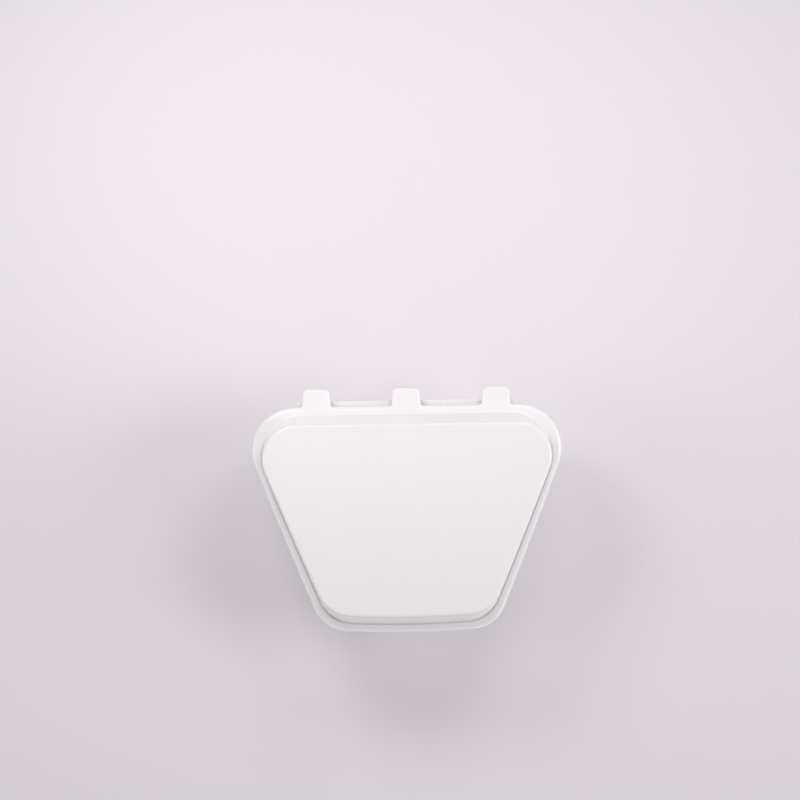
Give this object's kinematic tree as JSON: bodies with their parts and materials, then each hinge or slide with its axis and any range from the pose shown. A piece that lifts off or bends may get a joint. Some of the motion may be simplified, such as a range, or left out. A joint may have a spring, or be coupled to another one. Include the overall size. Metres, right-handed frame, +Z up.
{
  "type": "denture case",
  "caption": "Shallow plastic case with a rounded trapezoid outline and a hinged lid with a raised panel, for soaking and storing a denture.",
  "frame": {"origin": "centre of the overall bounding box in plan, at the level that the case stands on", "axes": "+Z up through the lid, +Y towards the hinge, +X to the right seen from above with the hinge away from the viewer"},
  "size_m": [0.089, 0.0702, 0.04],
  "materials": {
    "white_shell": "smooth white moulded polypropylene with a soft gloss"
  },
  "bodies": {
    "tub": {"tub": "white_shell"},
    "lid": {"lid": "white_shell"}
  },
  "joints": [
    {"name": "lid_hinge", "type": "hinge", "parent": "tub", "child": "lid", "pos_m": [0, 0.03055, 0.0258], "axis": [-1, 0, 0], "range_deg": [0, 180]}
  ]
}
